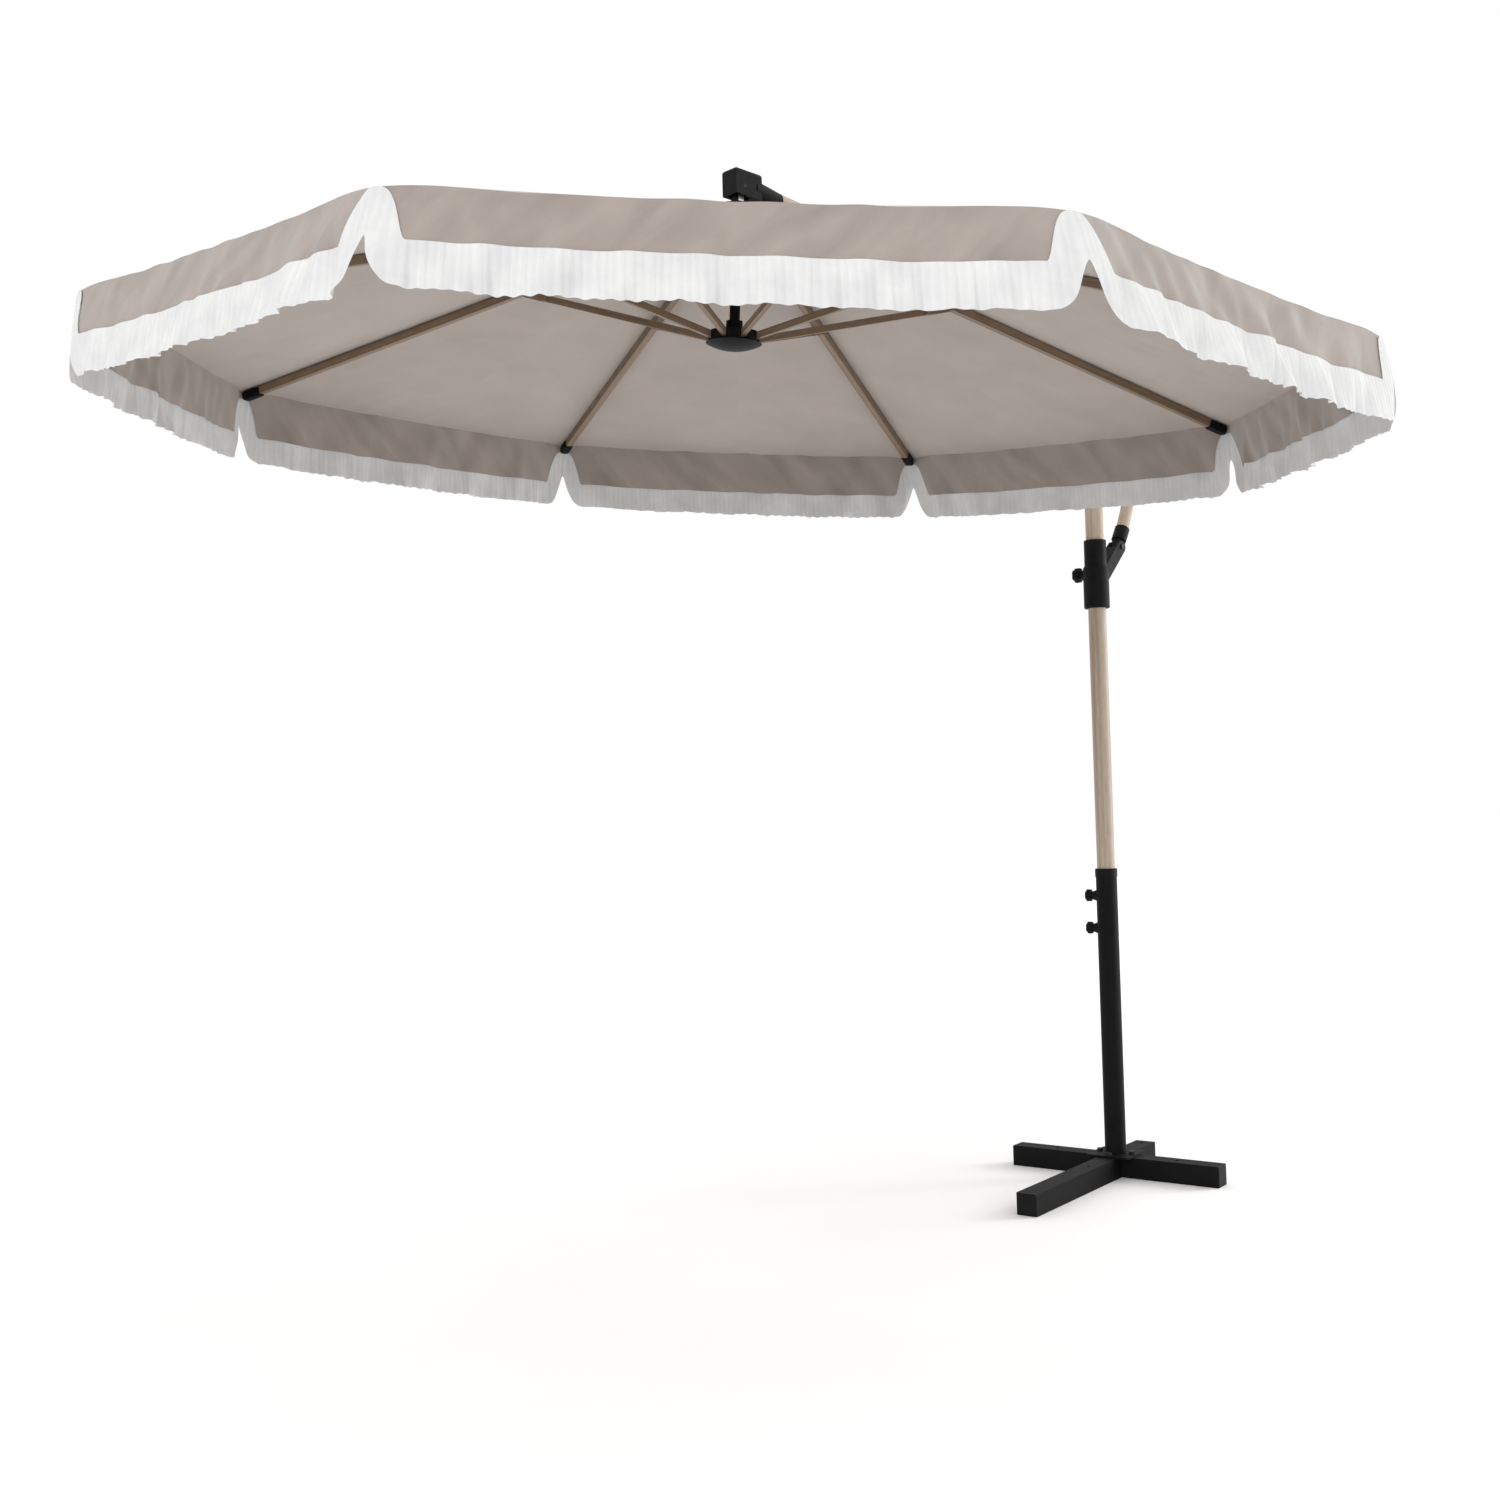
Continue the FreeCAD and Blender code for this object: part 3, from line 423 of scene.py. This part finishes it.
class Edge:
    """Columns along the roof's edge, from the middle of one side round to the middle of the next."""

    def __init__(self, i, distances):
        side = np.concatenate([-np.ones(len(distances) - 1), np.ones(len(distances))])
        self.v = np.concatenate([distances[:0:-1], distances])
        self.side = side
        self.signed = side * self.v
        self.s = i * 2 * HALF_EDGE + self.signed
        angle = rib_angle(i)
        middle = angle + side * HALF_TURN
        self.out = np.array([math.cos(angle), math.sin(angle), 0])
        self.facing = np.stack([np.cos(middle), np.sin(middle), np.zeros_like(middle)], 1)
        along = np.stack([-np.sin(middle), np.cos(middle), np.zeros_like(middle)], 1) * side[:, None]
        self.corner_line = ROOF_R * self.out + self.v[:, None] * along
        turn = np.clip(self.v / CORNER_ROUND, 0, 1)[:, None]
        facing = self.out * (1 - turn) + self.facing * turn
        self.outward = facing / np.linalg.norm(facing, axis=1)[:, None]
        towards = np.cos(angle + HALF_TURN * self.signed / HALF_EDGE - BREEZE).clip(0)
        lean = np.radians(LEAN + BREEZE_LEAN * towards ** 1.5)[:, None]
        self.hang = gravity * np.cos(lean) + self.outward * np.sin(lean)

    def roof(self, share):
        """Points at that share of the way from the axis to the roof's edge."""
        share = np.atleast_1d(share)[None, :]
        t = (self.v / HALF_EDGE)[:, None]
        between = t * (2 - t)
        inward = EDGE_INWARD * between * share ** 4
        straight = self.corner_line[:, None, :] * share[:, :, None]
        points = straight - self.facing[:, None, :] * inward[:, :, None]
        z = CROWN_Z - (share * ROOF_R - HUB_PIN_R) * math.tan(SLOPE) + ROOF_LIFT
        puckers = waves(self.s[:, None], share * 0.4, PUCKERS, PUCKER_SEED)
        beside_rib = self.v[:, None] * share
        over_rib = RIDGE_DROP * beside_rib * np.exp(-(beside_rib / RIDGE_REACH) ** 2)
        sag = EDGE_SAG * share + GORE_SAG * share ** 2 * (1 - share)
        z = z - sag * between + puckers * share ** 3 * between + over_rib
        points[:, :, 2] = z
        return points

    def flap(self, depth, trim_share=None):
        """Points at those depths below the roof's edge, with folds that grow downwards."""
        start = self.roof(1.0)[:, 0, :]
        s = self.s[:, None]
        grown = (depth / DROP).clip(0, 1)
        push = waves(s, depth, FOLDS, FOLD_SEED) * grown ** 0.6 + BILLOW * np.sin(math.pi * grown)
        if trim_share is not None:
            ruffles = waves(s, depth, RUFFLES, RUFFLE_SEED)
            push = push + TRIM_PROUD + ruffles * (0.10 + 0.90 * trim_share)
        hanging = depth[:, :, None] * self.hang[:, None, :]
        return start[:, None, :] + hanging + push[:, :, None] * self.outward[:, None, :]


FINE_REACH = 0.12                      # beside a corner, over which the mesh becomes coarser


def spaced(step_at_corner, step_at_middle):
    """Distances from a roof's corner to the middle of a side, closer together at the corner."""
    found = [0.0]
    while found[-1] < HALF_EDGE:
        away = min(found[-1] / FINE_REACH, 1)
        found.append(found[-1] + step_at_corner + (step_at_middle - step_at_corner) * away)
    found = np.array(found)
    return found * HALF_EDGE / found[-1]


def grid_normals(grids):
    """Smooth normals of neighbouring grids that meet all round, so that no join shows."""
    ring = np.concatenate([g[:-1] for g in grids])
    around = np.roll(ring, -1, 0) - np.roll(ring, 1, 0)
    down = np.gradient(ring, axis=1)
    normals = np.cross(around, down)
    normals /= np.maximum(np.linalg.norm(normals, axis=2), 1e-12)[:, :, None]
    step = len(grids[0]) - 1
    closed = np.concatenate([normals, normals[:1]])
    return [closed[k * step:(k + 1) * step + 1] for k in range(len(grids))]


def grid_object(name, points, normals, across, along, material):
    """A smooth mesh from a grid of points in the canopy's frame, with a UV map in metres."""
    columns, rows = points.shape[:2]
    placed = points.reshape(-1, 3) @ turn_to_row.T + np.array(ROLL_CENTRE)
    turned = normals.reshape(-1, 3) @ turn_to_row.T
    index = np.arange(columns * rows).reshape(columns, rows)
    corners = [index[:-1, :-1], index[1:, :-1], index[1:, 1:], index[:-1, 1:]]
    faces = np.stack([c.ravel() for c in corners], 1)
    mesh = bpy.data.meshes.new(name)
    mesh.from_pydata(placed.tolist(), [], faces.tolist())
    uv = mesh.uv_layers.new(name="metres")
    flat = np.stack([across.ravel(), along.ravel()], 1)
    uv.data.foreach_set("uv", flat[faces.ravel()].ravel().astype(np.float32))
    mesh.polygons.foreach_set("use_smooth", [True] * len(faces))
    mesh.update()
    mesh.normals_split_custom_set_from_vertices(turned.tolist())
    mesh.materials.append(material)
    made = bpy.data.objects.new(name, mesh)
    bpy.context.scene.collection.objects.link(made)
    return made


def fold_with_rib(piece, i):
    """The piece moves with rib i."""
    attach(piece, f"rib_{i + 1}")
    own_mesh(piece)


def canopy():
    """One continuous roof with its flaps, cut along the middle of each side: one piece for each rib."""
    fabric, trim = canopy_fabric(), trim_fabric()
    shares = np.concatenate([np.linspace(HOLE_R / ROOF_R, 0.97, 26), [0.985, 0.995, 1.0]])
    down = np.array([0.0015, 0.006, 0.02, 0.045, 0.08, 0.12, 0.17, 0.23,
                     0.3, 0.38, 0.48, 0.6, 0.74, 0.88, 1.0])
    roof_parts, trim_parts = [], []
    wide, fine = spaced(0.0035, 0.0075), spaced(0.0030, 0.0040)
    for i in range(SIDES):
        edge = Edge(i, wide)
        foot = np.minimum(trim_line(edge.v) + TRIM_TUCK, flap_hem(edge.v) - TRIM_OVER)
        depth = foot[:, None] * down[None, :]
        roof = edge.roof(shares)
        across = np.concatenate([edge.signed[:, None] * shares[None, :],
                                 np.repeat(edge.signed[:, None], len(down), 1)], 1)
        along = np.concatenate([np.repeat(shares[None, :] * RIB_LENGTH, len(edge.v), 0),
                                RIB_LENGTH + depth], 1)
        roof_parts.append((np.concatenate([roof, edge.flap(depth)], 1), across, along))

        edge = Edge(i, fine)
        top, hem = trim_line(edge.v), flap_hem(edge.v)
        share = np.repeat(np.linspace(0, 1, TRIM_ROWS)[None, :], len(edge.v), 0)
        ripple = waves(edge.s, 0.0, UNEVEN_HEM, HEM_SEED)
        depth = top[:, None] + share * (hem + ripple - top)[:, None]
        trim_parts.append((edge.flap(depth, share), np.repeat(edge.signed[:, None], TRIM_ROWS, 1), depth))
    roof_normals = grid_normals([p[0] for p in roof_parts])
    trim_normals = grid_normals([p[0] for p in trim_parts])
    for i in range(SIDES):
        points, across, along = roof_parts[i]
        piece = grid_object(f"canopy_panel_{i + 1}", points, roof_normals[i], across, along, fabric)
        points, across, along = trim_parts[i]
        band = grid_object(f"canopy_trim_{i + 1}", points, trim_normals[i], across, along, trim)
        fold_with_rib(piece, i)
        fold_with_rib(band, i)
    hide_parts("canopy_roof", "canopy_valance")


def rib_tips(material):
    """A moulded pocket on each rib's end, which holds the fabric's corner."""
    half_w, top, low, squareness = 0.0135, 0.0100, -0.0150, 0.45
    stations = [(-0.052, 0.80), (-0.049, 0.97), (-0.010, 1.0),
                (0.000, 0.97), (0.0045, 0.80), (0.0060, 0.45)]
    ring = 28
    angles = [2 * math.pi * k / ring for k in range(ring)]
    for i in range(SIDES):
        lay = (to_row @ Matrix.Rotation(rib_angle(i), 4, "Z") @ Matrix.Translation((HUB_PIN_R, 0, CROWN_Z))
               @ Matrix.Rotation(SLOPE, 4, "Y"))
        points, faces = [], []
        middle, half_h = (top + low) / 2, (top - low) / 2
        for x, share in stations:
            for a in angles:
                y = math.copysign(abs(math.cos(a)) ** squareness, math.cos(a)) * half_w * share
                z = math.copysign(abs(math.sin(a)) ** squareness, math.sin(a)) * half_h * share
                points.append(lay @ Vector((RIB_LENGTH + x, y, middle + z)))
        for k in range(len(stations) - 1):
            for j in range(ring):
                after = (j + 1) % ring
                faces.append((k * ring + j, k * ring + after, (k + 1) * ring + after, (k + 1) * ring + j))
        faces.append(tuple(range(ring - 1, -1, -1)))
        faces.append(tuple((len(stations) - 1) * ring + j for j in range(ring)))
        mesh = bpy.data.meshes.new(f"rib_tip_{i + 1}")
        mesh.from_pydata([tuple(p) for p in points], [], faces)
        mesh.polygons.foreach_set("use_smooth", [len(f) == 4 for f in faces])
        mesh.materials.append(material)
        tip = bpy.data.objects.new(f"rib_tip_{i + 1}", mesh)
        bpy.context.scene.collection.objects.link(tip)
        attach(tip, f"rib_{i + 1}")


# Floor, light and camera

FLOOR_HALF, FLOOR_GAP = 40.0, 0.0005
SUN_WIDTH = math.radians(38)


def floor():
    """A pale floor just under the base, far wider than the view."""
    mesh = bpy.data.meshes.new("studio_floor")
    half = FLOOR_HALF
    corners = [(-half, -half, 0), (half, -half, 0), (half, half, 0), (-half, half, 0)]
    mesh.from_pydata(corners, [], [(0, 1, 2, 3)])
    mesh.materials.append(floor_look())
    made = bpy.data.objects.new("studio_floor", mesh)
    bpy.context.scene.collection.objects.link(made)
    made.location.z = cad_box[0][2] - FLOOR_GAP


def soft_sun(name, place, strength, colour=(1, 1, 1)):
    """A wide, soft light that shines from that direction evenly over the whole object."""
    data = bpy.data.lights.new(name, "SUN")
    data.energy = strength
    data.angle = SUN_WIDTH
    data.color = colour
    made = bpy.data.objects.new(name, data)
    bpy.context.scene.collection.objects.link(made)
    made.location = place
    made.rotation_euler = (-Vector(place)).to_track_quat("-Z", "Y").to_euler()


def mast_light():
    """A soft panel low on the right, which brightens that side of the mast."""
    place = Vector((2.6, -1.9, 1.2))
    data = bpy.data.lights.new("mast_light", "AREA")
    data.shape = "RECTANGLE"
    data.size, data.size_y = 0.8, 2.2
    data.energy = 55
    made = bpy.data.objects.new("mast_light", data)
    bpy.context.scene.collection.objects.link(made)
    made.location = place
    made.rotation_euler = Vector((-place.x, -place.y, 0)).to_track_quat("-Z", "Y").to_euler()


def studio():
    """A floor under a white sky, with three wide suns and the panel beside the mast."""
    floor()
    world = bpy.data.worlds.new("studio")
    bpy.context.scene.world = world
    world.use_nodes = True
    sky = world.node_tree.nodes["Background"]
    sky.inputs["Color"].default_value = (1, 1, 1, 1)
    sky.inputs["Strength"].default_value = 1.0
    soft_sun("key", (-8.0, -1.8, 5.6), 1.12, (1.0, 0.99, 0.975))
    soft_sun("side", (7.0, -3.2, 3.5), 0.90, (1.0, 0.975, 0.94))
    soft_sun("fill", (-5.0, -4.6, 0.3), 0.42)
    mast_light()
    bpy.context.scene.view_settings.view_transform = "Standard"


def camera():
    """A low viewpoint in front of the canopy, which looks up at it from below its edge."""
    place = Vector((-4.300, -2.798, 1.116))
    yaw, pitch, roll = math.radians(45.07), math.radians(2.01), math.radians(-1.55)
    ahead = Vector((math.sin(yaw) * math.cos(pitch), math.cos(yaw) * math.cos(pitch), math.sin(pitch)))
    level = Vector((math.cos(yaw), -math.sin(yaw), 0))
    up = level.cross(ahead)
    right = math.cos(roll) * level + math.sin(roll) * up
    up = math.cos(roll) * up - math.sin(roll) * level
    data = bpy.data.cameras.new("camera")
    data.sensor_width = 36.0
    data.lens = 40.16
    data.clip_end = 200
    made = bpy.data.objects.new("camera", data)
    bpy.context.scene.collection.objects.link(made)
    made.matrix_world = Matrix.Translation(place) @ Matrix((right, up, -ahead)).transposed().to_4x4()
    bpy.context.scene.camera = made


plastic = dress_frame()
canopy()
rib_tips(plastic)
studio()
camera()
